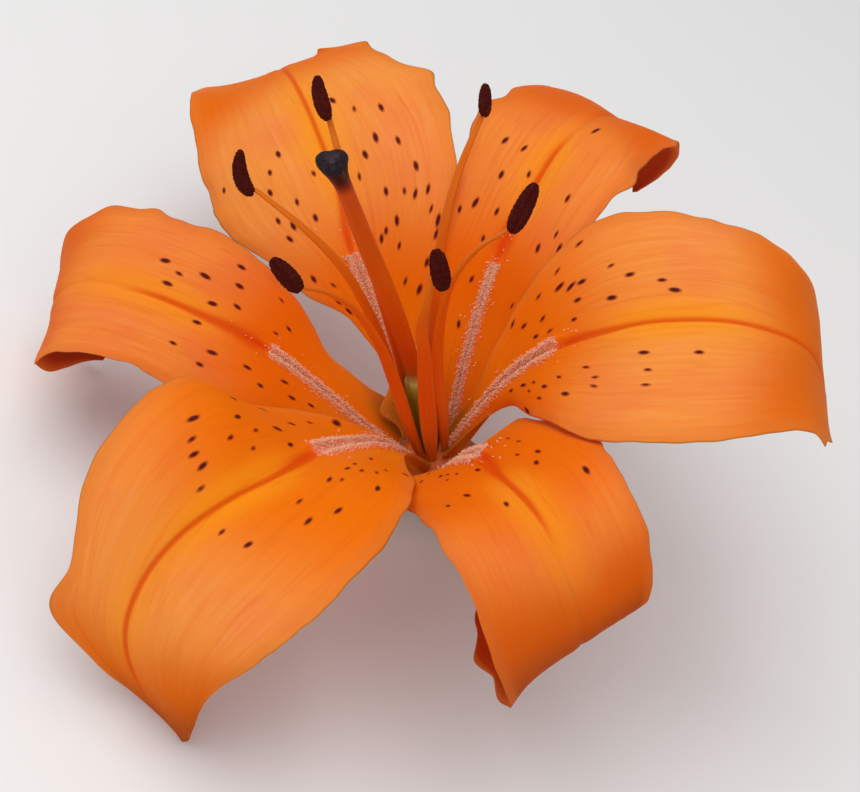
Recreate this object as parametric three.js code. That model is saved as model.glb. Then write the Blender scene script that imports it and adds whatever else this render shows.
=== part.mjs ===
// One cut flower head of a tiger lily, lying on its stalk end and on two of its rolled-back tepals.
// Millimetres and degrees. The flower is modelled upright about its own axis, with the throat at
// the origin, and is then leaned over into the place where it rests on z = 0.
import * as THREE from "three";

// ---- the flower's place at rest ----
const LEAN = 23.91; // angle between the flower's axis and the vertical
const LEAN_TOWARD = 188.57; // azimuth that the axis leans to
const TURN = 23.1; // the leaning flower is then turned about the vertical
const THROAT = [6.36, 4.47, 13.3]; // where the throat lies once the flower rests

// ---- tepals: three inner ones, the petals, and three outer ones, the sepals ----
const BLADE_THICKNESS = 0.8; // along the middle of the blade
const EDGE_THICKNESS = 0.45; // at the margins and at the tip
const CLAW_THICKNESS = 1.4; // at the narrow base, where the midrib is fleshy
const TIP_HALF_WIDTH = 0.3; // a tepal ends in a small blunt point
const CELLS_ALONG = 28;
const CELLS_ACROSS = 10;
const STEPS_PER_CELL = 5; // finer steps for adding up the midrib's course
const NUDGE_FROM = 0.78; // where along a tepal the nudge of its tip sets in

// Half widths at equal stations from base to tip, the same for each tepal of a whorl.
const PETAL = {
  baseRadius: 4,
  baseHeight: 0,
  halfWidths: [3.6, 3, 11, 21, 22.5, 18, 12, TIP_HALF_WIDTH],
  color: 0xe8761a,
};
const SEPAL = {
  baseRadius: 6.2,
  baseHeight: -1.4,
  halfWidths: [4, 8.5, 13, 14.5, 14.5, 14.5, 10.5, TIP_HALF_WIDTH],
  color: 0xe2662a,
};

// Each tepal's own posture, at equal stations from base to tip:
// rise: slope of the midrib; swing: turn of its azimuth; twist: roll of the blade about it;
// keel: slope of the blade beside the midrib; curl: how much that slope grows out to a margin;
// wave: how far a margin is lifted, in mm; shift: how far the blade sits to the left, in mm;
// nudge: how far the tip is pushed away from there, in mm, where it is.
const TEPALS = [
  {
    name: "petal_back",
    whorl: PETAL,
    azimuth: 107,
    length: 101,
    rise: [56, 51, 42, 16, -5, -39, -75],
    swing: [0, -6, 1, -4],
    twist: [0, -8, -10, 16],
    keel: [21, 9, 0],
    curlLeft: [-12, -31, -18, -7],
    curlRight: [-11, -17, -24, -10],
    waveLeft: [0, -0.3, 0.1, -1.6, 2.1, 0],
    waveRight: [0, -0.4, 0.8, -2.2, 2, 0],
    shift: [0, -0.8, -0.4, 0.3, 0],
  },
  {
    name: "petal_right",
    whorl: PETAL,
    azimuth: -9,
    length: 100.5,
    rise: [61, 55, 39, 16, -22, -77, -88],
    swing: [0, -11, -2, 17],
    twist: [0, 7, 7, 15],
    keel: [34, 16, -2],
    curlLeft: [-27, -20, -15, -12],
    curlRight: [3, -25, -15, -7],
    waveLeft: [0, 1.6, 1.7, -2.9, 0.6, 0],
    waveRight: [0, -2.3, -0.2, 0.7, 1.4, 0],
    shift: [0, 0.6, -0.9, 0.4, 0],
  },
  {
    name: "petal_front_left",
    whorl: PETAL,
    azimuth: -139,
    length: 100.5,
    rise: [68, 48, 39, 24, -18, -56, -100],
    swing: [0, 14, -1, 52],
    twist: [0, -7, -20, 57],
    keel: [0, 27, -2],
    curlLeft: [-67, -32, -16, -33],
    curlRight: [22, -6, -15, -22],
    waveLeft: [3, 1.4, -0.75, 1.1, -0.7, 0],
    waveRight: [0, 1.3, -3.1, -5.7, 2, 0],
    shift: [0, 1.6, 0, 3.5, 0],
    nudge: [3.78, -1.37, -1.57],
  },
  {
    name: "sepal_back_right",
    whorl: SEPAL,
    azimuth: 46,
    length: 96.5,
    rise: [64, 55, 41, 17, -23, -67, -103],
    swing: [0, 1, 1, -25],
    twist: [0, -4, -1, 5],
    keel: [25, 18, 7],
    curlLeft: [-10, -24, -21, -9],
    curlRight: [-11, -18, -26, -11],
    waveLeft: [0, 0, -0.2, 0.4, -0.7, 0],
    waveRight: [0, 0, 1, -2.6, 1.5, 0],
    shift: [0, 0, 0, 0.8, 0],
  },
  {
    name: "sepal_front",
    whorl: SEPAL,
    azimuth: -74,
    length: 96,
    rise: [59, 54, 38, 20, -44, -115, -183],
    swing: [0, 3, 0, -24],
    twist: [0, 5, -11, -32],
    keel: [20, 12, -2],
    curlLeft: [-15, -17, -10, -20],
    curlRight: [-9, -24, -19, -60],
    waveLeft: [0, 0.2, -1.5, 0.7, 0.9, 0],
    waveRight: [0.7, 0.3, -0.4, 2.6, 4.8, 0],
    shift: [0, -0.2, 0, -2.2, 0],
    nudge: [-13.5, 4.9, -0.5],
  },
  {
    name: "sepal_left",
    whorl: SEPAL,
    azimuth: 166,
    length: 95.5,
    rise: [51, 56, 47, 23, -15, -74, -123],
    swing: [0, -3, -15, 4],
    twist: [0, 0, -14, -12],
    keel: [24, 10, -2],
    curlLeft: [-10, -33, -13, -11],
    curlRight: [-11, -25, -17, -15],
    waveLeft: [0, 0, -1.1, 2, 1.7, 0],
    waveRight: [0, -0.5, 1.4, -1.1, 1.6, 0],
    shift: [0, 0.1, -0.5, -0.3, 0],
  },
];

// ---- stamens: a filament and an anther in front of each tepal ----
const FILAMENT_SIDES = 8;
const FILAMENT_STEPS = 18;
const FILAMENT_FLATNESS = 0.6; // thickness over width
// Each filament's course, as [distance from the axis, height]: side by side, then flaring out.
const FILAMENT_COURSE = [
  [2.6, 0],
  [3.8, 10],
  [4.7, 22],
  [6.4, 34],
  [9.6, 45],
  [14.4, 53],
  [20.2, 59.3],
];
const FILAMENT_HALF_WIDTHS = [0.85, 1.4, 1.4, 1.2, 0.95, 0.7, 0.5];

const ANTHER_SIDES = 10;
const ANTHER_STEPS = 10;
const ANTHER_FLATNESS = 0.8;
const ANTHER_SEAT = 0.5; // clearance between a filament's tip and its anther

// Azimuths of each filament at equal stations, how far its middle stands out from the common
// course, and how far its tip goes out and up from there, in mm; then its anther: length, half
// width, heading (azimuth that it points along), pitch above the horizontal, bend in mm, and
// grip: where along it, from -1 at its near end to 1 at its far end, the filament holds it.
const STAMENS = [
  {
    name: "back",
    azimuth: [109, 116, 122, 116, 109],
    spread: 0.98,
    tip: [0.7, 0.7],
    anther: { length: 8.8, halfWidth: 1.2, heading: 95, pitch: 13, bend: 0.4, grip: -0.6 },
  },
  {
    name: "back_right",
    azimuth: [51, 45, 35, 39, 40],
    spread: 1,
    tip: [1, 0.7],
    anther: { length: 7.4, halfWidth: 1, heading: 80, pitch: 0, bend: 0, grip: -0.75 },
  },
  {
    name: "right",
    azimuth: [-12, -45, -40, -32, -33],
    spread: 0.98,
    tip: [-0.4, 0.2],
    anther: { length: 8.4, halfWidth: 1.4, heading: 50, pitch: 23, bend: 0, grip: -0.85 },
  },
  {
    name: "front",
    azimuth: [-89, -84, -81, -82, -73],
    spread: 1.61,
    tip: [-1.7, 1.7],
    anther: { length: 6.4, halfWidth: 1.35, heading: 94, pitch: 63, bend: 0, grip: -0.1 },
  },
  {
    name: "front_left",
    azimuth: [-132, -136, -136, -137, -133],
    spread: 1.12,
    tip: [0.2, -0.2],
    anther: { length: 6.4, halfWidth: 1.4, heading: 129, pitch: 29, bend: 0, grip: -0.85 },
  },
  {
    name: "left",
    azimuth: [163, 164, 165, 165, 161],
    spread: 0.95,
    tip: [0, 0],
    anther: { length: 7.2, halfWidth: 1.3, heading: 97, pitch: 29, bend: 1.8, grip: -0.8 },
  },
];

// ---- pistil: a ribbed ovary, a thick style and a three-lobed stigma, grown as one ----
const PISTIL_SIDES = 12;
// [offset x, offset y, height, radius, depth of the three lobes as a share of the radius]
const PISTIL_STATIONS = [
  [0, 0, 0, 1.5, 0],
  [0, 0, 2, 1.9, 0.12],
  [-0.1, 0.1, 9, 2.1, 0.16],
  [-0.4, 0.5, 16.5, 1.9, 0.12],
  [-0.5, 0.6, 18.5, 1.35, 0],
  [-0.7, 0.7, 22, 1.45, 0],
  [-2.1, 0.4, 36, 1.6, 0],
  [-4.3, -0.3, 52, 1.45, 0],
  [-5.7, -0.8, 63, 1.3, 0],
  [-6.3, -0.9, 66, 1.5, 0.06],
  [-6.7, -1, 67.8, 2.05, 0.16],
  [-6.8, -1, 69.2, 2.15, 0.2],
  [-6.85, -1, 70.1, 1.4, 0.16],
];

// ---- flower stalk: the receptacle that carries every piece, and a short cut length of stalk ----
const STALK_SIDES = 14;
const SEAT_GAP = 0.35; // clearance between the receptacle and what grows on it
// [offset x, offset y, height, radius] from the receptacle's face down to the cut end
const STALK_STATIONS = [
  [0, 0, -SEAT_GAP, 4],
  [0, 0, -1.7, 6],
  [0, 0, -2.95, 7.9],
  [0, 0, -4.2, 7.9],
  [0, 0, -6, 5.2],
  [0.4, 0, -8, 3.4],
  [2, 0, -11, 2.7],
  [6, 0, -14.5, 2.4],
  [11.5, 0, -17, 2.4],
  [16, 0, -18.4, 2.5],
];

const radians = (degrees) => (degrees * Math.PI) / 180;

/** Value at u, from 0 to 1, of a smooth curve through equally spaced stations (Catmull-Rom). */
function atStation(values, u) {
  const last = values.length - 1;
  const place = Math.min(Math.max(u, 0), 1) * last;
  const i = Math.min(Math.floor(place), last - 1);
  const t = place - i;
  const b = values[i];
  const c = values[i + 1];
  const a = i > 0 ? values[i - 1] : 2 * b - c;
  const d = i + 2 <= last ? values[i + 2] : 2 * c - b;
  const linear = 2 * b + (c - a) * t;
  const square = (2 * a - 5 * b + 4 * c - d) * t * t;
  const cube = (3 * b - a - 3 * c + d) * t * t * t;
  return (linear + square + cube) / 2;
}

/** A closed surface from rows of equal rings of points, with a flat fan over each end ring. */
function ringSolid(rings) {
  const count = rings[0].length;
  const positions = rings.flat().flatMap((point) => point.toArray());
  const index = [];
  for (let i = 0; i + 1 < rings.length; i += 1) {
    for (let j = 0; j < count; j += 1) {
      const k = (j + 1) % count;
      const a = i * count + j;
      const b = i * count + k;
      index.push(a, b, b + count, a, b + count, a + count);
    }
  }
  const ends = [0, rings.length - 1];
  for (const end of ends) {
    const centre = new THREE.Vector3();
    rings[end].forEach((point) => centre.addScaledVector(point, 1 / count));
    const hub = positions.length / 3;
    positions.push(...centre.toArray());
    for (let j = 0; j < count; j += 1) {
      const a = end * count + j;
      const b = end * count + ((j + 1) % count);
      index.push(...(end === 0 ? [hub, b, a] : [hub, a, b]));
    }
  }
  const geometry = new THREE.BufferGeometry();
  geometry.setAttribute("position", new THREE.Float32BufferAttribute(positions, 3));
  geometry.setIndex(index);
  geometry.computeVertexNormals();
  return geometry;
}

/**
 * Rings carried along a curve. section(u, angle) gives a ring's reach in mm towards the side
 * and towards the front at that angle; side0 is the direction that a ring's side starts along.
 */
function sweep(curve, steps, sides, side0, section) {
  const rings = [];
  for (let i = 0; i <= steps; i += 1) {
    const u = i / steps;
    const centre = curve.getPoint(u);
    const tangent = curve.getTangent(u);
    const front = new THREE.Vector3().crossVectors(tangent, side0).normalize();
    const side = new THREE.Vector3().crossVectors(front, tangent).normalize();
    const ring = [];
    for (let j = 0; j < sides; j += 1) {
      const [across, forward] = section(u, (2 * Math.PI * j) / sides);
      ring.push(centre.clone().addScaledVector(side, across).addScaledVector(front, forward));
    }
    rings.push(ring);
  }
  return ringSolid(rings);
}

function meshOf(name, geometry, color, roughness) {
  const material = new THREE.MeshStandardMaterial({ color, roughness, metalness: 0 });
  const mesh = new THREE.Mesh(geometry, material);
  mesh.name = name;
  return mesh;
}

/** The midrib's points and its frame (along, side, up), found by adding up its rise and swing. */
function midrib(tepal) {
  const { whorl, length } = tepal;
  const start = radians(tepal.azimuth);
  const nudge = new THREE.Vector3(...(tepal.nudge ?? [0, 0, 0]));
  const place = new THREE.Vector3(
    whorl.baseRadius * Math.cos(start),
    whorl.baseRadius * Math.sin(start),
    whorl.baseHeight,
  );
  const steps = CELLS_ALONG * STEPS_PER_CELL;
  const heading = (u) => {
    const rise = radians(atStation(tepal.rise, u));
    const azimuth = start + radians(atStation(tepal.swing, u));
    const level = Math.cos(rise);
    const along = new THREE.Vector3(
      level * Math.cos(azimuth),
      level * Math.sin(azimuth),
      Math.sin(rise),
    );
    const flatSide = new THREE.Vector3(-Math.sin(azimuth), Math.cos(azimuth), 0);
    return { along, flatSide };
  };
  const frames = [];
  for (let step = 0; step <= steps; step += 1) {
    const u = step / steps;
    const { along, flatSide } = heading(u);
    if (step > 0) place.addScaledVector(heading((step - 0.5) / steps).along, length / steps);
    if (step % STEPS_PER_CELL === 0) {
      const flatUp = new THREE.Vector3().crossVectors(along, flatSide);
      const roll = radians(atStation(tepal.twist, u));
      const side = flatSide.clone().multiplyScalar(Math.cos(roll));
      side.addScaledVector(flatUp, Math.sin(roll));
      const up = new THREE.Vector3().crossVectors(along, side);
      const pushed = THREE.MathUtils.smoothstep(u, NUDGE_FROM, 1);
      const point = place.clone().addScaledVector(nudge, pushed);
      frames.push({ u, point, along, side, up });
    }
  }
  return frames;
}

/** A point of the tepal's upper face; v runs from -1 at the right margin to 1 at the left. */
function facePoint(tepal, frame, v) {
  const { u } = frame;
  const left = v > 0;
  const reach = Math.abs(v);
  const lean = atStation(tepal.shift, u) * (left ? 1 : -1);
  const width = Math.max(atStation(tepal.whorl.halfWidths, u) + lean, TIP_HALF_WIDTH);
  const keel = radians(atStation(tepal.keel, u));
  const wanted = radians(atStation(left ? tepal.curlLeft : tepal.curlRight, u));
  const curl = Math.abs(wanted) < 1e-4 ? 1e-4 : wanted;
  const wave = atStation(left ? tepal.waveLeft : tepal.waveRight, u) * reach ** 3;
  const across = (width * (Math.sin(keel + curl * reach) - Math.sin(keel))) / curl;
  const raised = (width * (Math.cos(keel) - Math.cos(keel + curl * reach))) / curl + wave;
  const point = frame.point.clone();
  point.addScaledVector(frame.side, left ? across : -across);
  return point.addScaledVector(frame.up, raised);
}

/** Thickness: fleshy along the midrib near the base, thin at the margins. */
function thicknessAt(u, v) {
  const rib = (CLAW_THICKNESS - BLADE_THICKNESS) * (1 - u) ** 2 * (1 - Math.abs(v));
  const edge = (BLADE_THICKNESS - EDGE_THICKNESS) * v ** 4;
  return BLADE_THICKNESS + rib - edge;
}

/** One tepal: its upper face, its lower face a thickness below, and the margin between them. */
function tepalMesh(tepal) {
  const frames = midrib(tepal);
  const upper = frames.map((frame) => {
    const row = [];
    for (let j = 0; j <= CELLS_ACROSS; j += 1) {
      row.push(facePoint(tepal, frame, (2 * j) / CELLS_ACROSS - 1));
    }
    return row;
  });
  const rings = upper.map((row, i) => {
    const before = upper[Math.max(i - 1, 0)];
    const after = upper[Math.min(i + 1, CELLS_ALONG)];
    const lower = row.map((point, j) => {
      const along = new THREE.Vector3().subVectors(after[j], before[j]);
      const right = row[Math.max(j - 1, 0)];
      const left = row[Math.min(j + 1, CELLS_ACROSS)];
      const across = new THREE.Vector3().subVectors(left, right);
      const normal = along.cross(across).normalize();
      const thickness = thicknessAt(frames[i].u, (2 * j) / CELLS_ACROSS - 1);
      return point.clone().addScaledVector(normal, -thickness);
    });
    return [...lower, ...[...row].reverse()];
  });
  return meshOf(tepal.name, ringSolid(rings), tepal.whorl.color, 0.45);
}

/** One filament: a flattened tapering thread with its broad side facing the axis. */
function filamentMesh(stamen) {
  const points = FILAMENT_COURSE.map(([radius, height], i) => {
    const u = i / (FILAMENT_COURSE.length - 1);
    const azimuth = radians(atStation(stamen.azimuth, u));
    const [out, up] = stamen.tip.map((mm) => mm * u ** 3);
    const reach = radius * (1 + (stamen.spread - 1) * Math.sin(Math.PI * u)) + out;
    return new THREE.Vector3(reach * Math.cos(azimuth), reach * Math.sin(azimuth), height + up);
  });
  const facing = radians(atStation(stamen.azimuth, 0.5));
  const side = new THREE.Vector3(-Math.sin(facing), Math.cos(facing), 0);
  const geometry = sweep(
    new THREE.CatmullRomCurve3(points),
    FILAMENT_STEPS,
    FILAMENT_SIDES,
    side,
    (u, angle) => {
      const halfWidth = atStation(FILAMENT_HALF_WIDTHS, u);
      return [halfWidth * Math.cos(angle), FILAMENT_FLATNESS * halfWidth * Math.sin(angle)];
    },
  );
  return { mesh: meshOf(`filament_${stamen.name}`, geometry, 0xd2560c, 0.5), tip: points.at(-1) };
}

/** Half width of an anther at s, from -1 at its near end to 1 at its far end. */
function antherWidth(halfWidth, s) {
  return halfWidth * Math.max(Math.sqrt(1 - s ** 4), 0.25);
}

/** One anther: a plump pod held by its filament's tip near one end. */
function antherMesh(stamen, tip) {
  const { length, halfWidth, heading, pitch, bend, grip } = stamen.anther;
  const level = Math.cos(radians(pitch));
  const along = new THREE.Vector3(
    level * Math.cos(radians(heading)),
    level * Math.sin(radians(heading)),
    Math.sin(radians(pitch)),
  );
  const azimuth = radians(stamen.azimuth.at(-1));
  const outward = new THREE.Vector3(Math.cos(azimuth), Math.sin(azimuth), 1);
  const side = new THREE.Vector3().crossVectors(outward, along).normalize();
  const up = new THREE.Vector3().crossVectors(along, side).normalize();
  const held = ANTHER_FLATNESS * antherWidth(halfWidth, grip) + ANTHER_SEAT;
  const points = [-1, -0.5, 0, 0.5, 1].map((s) => {
    const point = tip.clone().addScaledVector(up, held);
    point.addScaledVector(along, ((s - grip) * length) / 2);
    return point.addScaledVector(side, bend * (grip * grip - s * s));
  });
  const geometry = sweep(
    new THREE.CatmullRomCurve3(points),
    ANTHER_STEPS,
    ANTHER_SIDES,
    side,
    (u, angle) => {
      const plump = antherWidth(halfWidth, 2 * u - 1);
      return [plump * Math.cos(angle), ANTHER_FLATNESS * plump * Math.sin(angle)];
    },
  );
  return meshOf(`anther_${stamen.name}`, geometry, 0x3a1008, 0.9);
}

/** The pistil, its stations joined by one smooth surface. */
function pistilMesh() {
  const points = PISTIL_STATIONS.map(([x, y, z]) => new THREE.Vector3(x, y, z));
  const rings = PISTIL_STATIONS.map(([, , , radius, lobes], i) => {
    const ring = [];
    for (let j = 0; j < PISTIL_SIDES; j += 1) {
      const angle = (2 * Math.PI * j) / PISTIL_SIDES;
      const reach = radius * (1 + lobes * Math.sin(3 * angle));
      const x = points[i].x + reach * Math.cos(angle);
      ring.push(new THREE.Vector3(x, points[i].y + reach * Math.sin(angle), points[i].z));
    }
    return ring;
  });
  return meshOf("pistil", ringSolid(rings), 0xc4540a, 0.45);
}

/** The receptacle and its stalk, swept down to the flat cut end. */
function stalkMesh() {
  const stations = [...STALK_STATIONS].reverse();
  const curve = new THREE.CatmullRomCurve3(stations.map(([x, y, z]) => new THREE.Vector3(x, y, z)));
  const rings = stations.map(([, , , radius], i) => {
    const u = i / (stations.length - 1);
    const tangent = curve.getTangent(u);
    const side = new THREE.Vector3(0, 1, 0);
    const front = new THREE.Vector3().crossVectors(tangent, side).normalize();
    const ring = [];
    for (let j = 0; j < STALK_SIDES; j += 1) {
      const angle = (2 * Math.PI * j) / STALK_SIDES;
      const point = curve.points[i].clone().addScaledVector(side, radius * Math.cos(angle));
      ring.push(point.addScaledVector(front, radius * Math.sin(angle)));
    }
    return ring;
  });
  return meshOf("flower_stalk", ringSolid(rings), 0x8a9a4a, 0.6);
}

const flower = new THREE.Group();
TEPALS.forEach((tepal) => flower.add(tepalMesh(tepal)));
for (const stamen of STAMENS) {
  const filament = filamentMesh(stamen);
  flower.add(filament.mesh, antherMesh(stamen, filament.tip));
}
flower.add(pistilMesh(), stalkMesh());

// Leaning turns the axis about the level line square to LEAN_TOWARD.
const hinge = radians(LEAN_TOWARD + 90);
const hingeLine = new THREE.Vector3(Math.cos(hinge), Math.sin(hinge), 0);
const leaning = new THREE.Quaternion().setFromAxisAngle(hingeLine, radians(LEAN));
const vertical = new THREE.Vector3(0, 0, 1);
flower.quaternion.setFromAxisAngle(vertical, radians(TURN)).multiply(leaning);
flower.position.set(...THROAT);

const part = new THREE.Group();
part.add(flower);
export default part;
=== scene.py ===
import math

import bpy
import numpy as np
from mathutils import Matrix, Vector


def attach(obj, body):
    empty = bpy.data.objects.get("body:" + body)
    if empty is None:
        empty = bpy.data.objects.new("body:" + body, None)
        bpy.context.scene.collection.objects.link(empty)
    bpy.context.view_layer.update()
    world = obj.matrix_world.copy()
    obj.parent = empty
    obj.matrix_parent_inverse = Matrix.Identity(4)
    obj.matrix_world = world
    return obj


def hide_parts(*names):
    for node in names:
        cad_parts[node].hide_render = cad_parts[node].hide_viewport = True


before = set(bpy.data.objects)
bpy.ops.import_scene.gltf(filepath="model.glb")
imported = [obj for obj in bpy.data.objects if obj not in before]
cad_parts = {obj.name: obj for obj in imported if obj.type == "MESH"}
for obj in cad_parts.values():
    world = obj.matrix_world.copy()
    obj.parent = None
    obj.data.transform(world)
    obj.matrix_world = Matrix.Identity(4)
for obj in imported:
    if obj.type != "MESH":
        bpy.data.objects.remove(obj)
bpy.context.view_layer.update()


# ---- receptacle and cut stalk ----
# The swollen green end of the flower stalk, from which every other piece grows, and a short
# length of the ribbed stalk. It is cut straight across, so its pale pith and vessels show.
# Stations of x, y, z and radius in mm, from the cut up to the bed of the pistil.
STALK_STATIONS = [
    (16, 0, -18.4, 2.5), (11.5, 0, -17, 2.4), (6, 0, -14.5, 2.4), (2, 0, -11, 2.7),
    (0.4, 0, -8, 3.4), (0, 0, -6, 5.2), (0, 0, -4.2, 7.9), (0, 0, -2.95, 7.9),
    (0, 0, -1.7, 6), (0, 0, -0.35, 4),
]
# Rings up the stalk, further rings that close in over its cut, and points round each ring.
STALK_RINGS, CUT_RINGS, STALK_POINTS = 161, 10, 72
# The flower is worked out upright in mm with its throat at the origin. It is then leaned over
# and turned about the vertical by these degrees, and its throat is moved to where it rests.
LEAN, LEAN_TOWARD, TURN = 23.91, 188.57, 23.1
THROAT = np.array([6.36, 4.47, 13.3])
hinge = math.radians(LEAN_TOWARD + 90)
leaning = Matrix.Rotation(math.radians(LEAN), 3, (math.cos(hinge), math.sin(hinge), 0))
resting = np.array(Matrix.Rotation(math.radians(TURN), 3, "Z") @ leaning)


def laid_down(points):
    """Upright mm to resting metres: turned by the lean and the turn, then moved to the throat."""
    return (np.asarray(points) @ resting.T + THROAT) / 1000


def station(values, u):
    """Smooth curve (Catmull-Rom) through equally spaced values, read at u from 0 to 1."""
    ends = [2 * values[0] - values[1]], [2 * values[-1] - values[-2]]
    padded = np.concatenate([ends[0], values, ends[1]])
    place = np.clip(u, 0, 1) * (len(values) - 1)
    i = np.minimum(place.astype(int), len(values) - 2)
    t = place - i
    a, b, c, d = (padded[i + k] for k in range(4))
    cube = (3 * b - a - 3 * c + d) * t**3
    return (2 * b + (c - a) * t + (2 * a - 5 * b + 4 * c - d) * t**2 + cube) / 2


def eased(low, high, x):
    """Smooth step from 0 at low to 1 at high: three times the square less twice the cube."""
    t = np.clip((x - low) / (high - low), 0, 1)
    return t * t * (3 - 2 * t)


def swept(course, side0, across, forward):
    """Rings carried along a course: at each point, across times the side plus forward times the
    front, where the front is the tangent crossed with side0 and the side is square to both."""
    tangent = np.gradient(course, axis=0)
    tangent /= np.linalg.norm(tangent, axis=1, keepdims=True)
    front = np.cross(tangent, side0)
    front /= np.linalg.norm(front, axis=1, keepdims=True)
    side = np.cross(front, tangent)
    return course[:, None] + side[:, None] * across[..., None] + front[:, None] * forward[..., None]


def placed(name, mesh, tissue):
    """The mesh as a piece of the flower, in its tissue."""
    mesh.materials.append(tissue)
    piece = bpy.data.objects.new(name, mesh)
    bpy.context.scene.collection.objects.link(piece)
    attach(piece, "root")
    return piece


def grown(name, rings, tints, tissue):
    """Closed smooth surface from rows of equal rings (rows, points, 3) in upright mm: quads
    between the rows and a fan over each end. tints are point attributes of the same rows."""
    rows, count = rings.shape[:2]
    hubs = np.stack([rings[0].mean(0), rings[-1].mean(0)])
    vertices = laid_down(np.concatenate([rings.reshape(-1, 3), hubs]))
    i, j = np.meshgrid(np.arange(rows - 1), np.arange(count), indexing="ij")
    a, b = i * count + j, i * count + (j + 1) % count
    quads = np.stack([a, b, b + count, a + count], -1).reshape(-1)
    ring, after = np.arange(count), np.roll(np.arange(count), -1)
    hub, end = np.full(count, rows * count), (rows - 1) * count
    first = np.stack([hub, after, ring], -1).reshape(-1)
    last = np.stack([hub + 1, end + ring, end + after], -1).reshape(-1)
    loops = np.concatenate([quads, first, last]).astype(np.int32)
    sizes = np.concatenate([np.full(len(quads) // 4, 4), np.full(2 * count, 3)])
    mesh = bpy.data.meshes.new(name)
    mesh.vertices.add(len(vertices))
    mesh.vertices.foreach_set("co", vertices.astype(np.float32).ravel())
    mesh.loops.add(len(loops))
    mesh.loops.foreach_set("vertex_index", loops)
    mesh.polygons.add(len(sizes))
    starts = np.concatenate([[0], np.cumsum(sizes)[:-1]]).astype(np.int32)
    mesh.polygons.foreach_set("loop_start", starts)
    mesh.polygons.foreach_set("use_smooth", np.ones(len(sizes), bool))
    mesh.update(calc_edges=True)
    for key, values in tints.items():
        flat = np.broadcast_to(values, (rows, count) + np.shape(values)[2:])
        middles = [[flat[end].mean(0).ravel()] for end in (0, -1)]
        flat = np.concatenate([flat.reshape(rows * count, -1), *middles])
        kind, field = ("FLOAT", "value") if flat.shape[1] == 1 else ("FLOAT_VECTOR", "vector")
        column = mesh.attributes.new(key, kind, "POINT")
        column.data.foreach_set(field, flat.astype(np.float32).ravel())
    return placed(name, mesh, tissue)


def linear(hex_colour):
    """sRGB hex to linear RGBA: each byte through the sRGB curve, alpha 1."""
    channels = [int(hex_colour[i : i + 2], 16) / 255 for i in (1, 3, 5)]
    return [c / 12.92 if c < 0.04045 else ((c + 0.055) / 1.055) ** 2.4 for c in channels] + [1]


def add(tree, kind, settings=None, links=None, **properties):
    """One node: its properties, the values of its sockets, and the sockets that feed it."""
    made = tree.nodes.new(kind)
    for name, value in properties.items():
        setattr(made, name, value)
    for key, value in (settings or {}).items():
        made.inputs[key].default_value = value
    for key, source in (links or {}).items():
        tree.links.new(source, made.inputs[key])
    return made


def begun(name):
    """A new material, its node tree and its shader."""
    made = bpy.data.materials.new(name)
    made.use_nodes = True
    return made, made.node_tree, made.node_tree.nodes["Principled BSDF"]


def fibred_tissue(name, colours, shade, per_mm, detail, strength, depth):
    """Living tissue with a waxy skin and fibres that run lengthwise. Its colours, each with its
    share of the way up, follow the upward attribute. Where a noise in the grain attribute's mm is
    high, the shade multiplies them: per_mm fibres side by side, drawn out along the piece, which
    stand up by the depth in metres times the strength."""
    made, tree, shader = begun(name)
    upward = add(tree, "ShaderNodeAttribute", attribute_name="upward").outputs["Fac"]
    tint = add(tree, "ShaderNodeValToRGB", links={"Fac": upward})
    tint.color_ramp.elements[0].color = linear(colours[0][1])
    tint.color_ramp.elements[1].color = linear(colours[-1][1])
    for at, colour in colours[1:-1]:
        tint.color_ramp.elements.new(at).color = linear(colour)
    grain = add(tree, "ShaderNodeAttribute", attribute_name="grain").outputs["Vector"]
    stretch = {"Scale": (per_mm, 0.1, per_mm)}
    place = add(tree, "ShaderNodeMapping", stretch, {"Vector": grain}).outputs["Vector"]
    noise = {"Scale": 1, "Detail": detail}
    fibres = add(tree, "ShaderNodeTexNoise", noise, {"Vector": place}).outputs["Fac"]
    colour = add(
        tree,
        "ShaderNodeMix",
        {7: linear(shade)},
        {0: fibres, 6: tint.outputs["Color"]},
        data_type="RGBA",
        blend_type="MULTIPLY",
    ).outputs[2]
    tree.links.new(colour, shader.inputs["Base Color"])
    bump = {"Strength": strength, "Distance": depth}
    bump = add(tree, "ShaderNodeBump", bump, {"Height": fibres}).outputs["Normal"]
    tree.links.new(bump, shader.inputs["Normal"])
    return made, shader, colour


# Living stalk: green cells under a thin waxy skin, so a soft sheen with fibres 0.6 mm apart that
# run lengthwise. The cut shows pale pith with darker vessels 0.7 mm apart.
stalk_skin, shader, skin = fibred_tissue(
    "stalk_skin",
    [
        (0, "#6F8A3A"), (0.35, "#7B9440"), (0.6, "#8F9A42"), (0.72, "#9A8A34"), (0.8, "#C8640C"),
        (1, "#F07410"),
    ],
    shade="#E4D8B8",
    per_mm=1.6,
    detail=5,
    strength=0.5,
    depth=0.0002,
)
tree = stalk_skin.node_tree
grain = add(tree, "ShaderNodeAttribute", attribute_name="grain").outputs["Vector"]
vessels = add(tree, "ShaderNodeTexVoronoi", {"Scale": 1.4}, {"Vector": grain}).outputs["Distance"]
pith = add(tree, "ShaderNodeValToRGB", links={"Fac": vessels})
pith.color_ramp.elements[0].color = linear("#7F9450")
pith.color_ramp.elements[0].position = 0.12
pith.color_ramp.elements[1].color = linear("#D3DAAE")
pith.color_ramp.elements[1].position = 0.3
cut = add(tree, "ShaderNodeAttribute", attribute_name="cut").outputs["Fac"]
colour = add(
    tree, "ShaderNodeMix", links={0: cut, 6: skin, 7: pith.outputs["Color"]}, data_type="RGBA"
).outputs[2]
tree.links.new(colour, shader.inputs["Base Color"])
shader.inputs["Roughness"].default_value = 0.5

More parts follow.
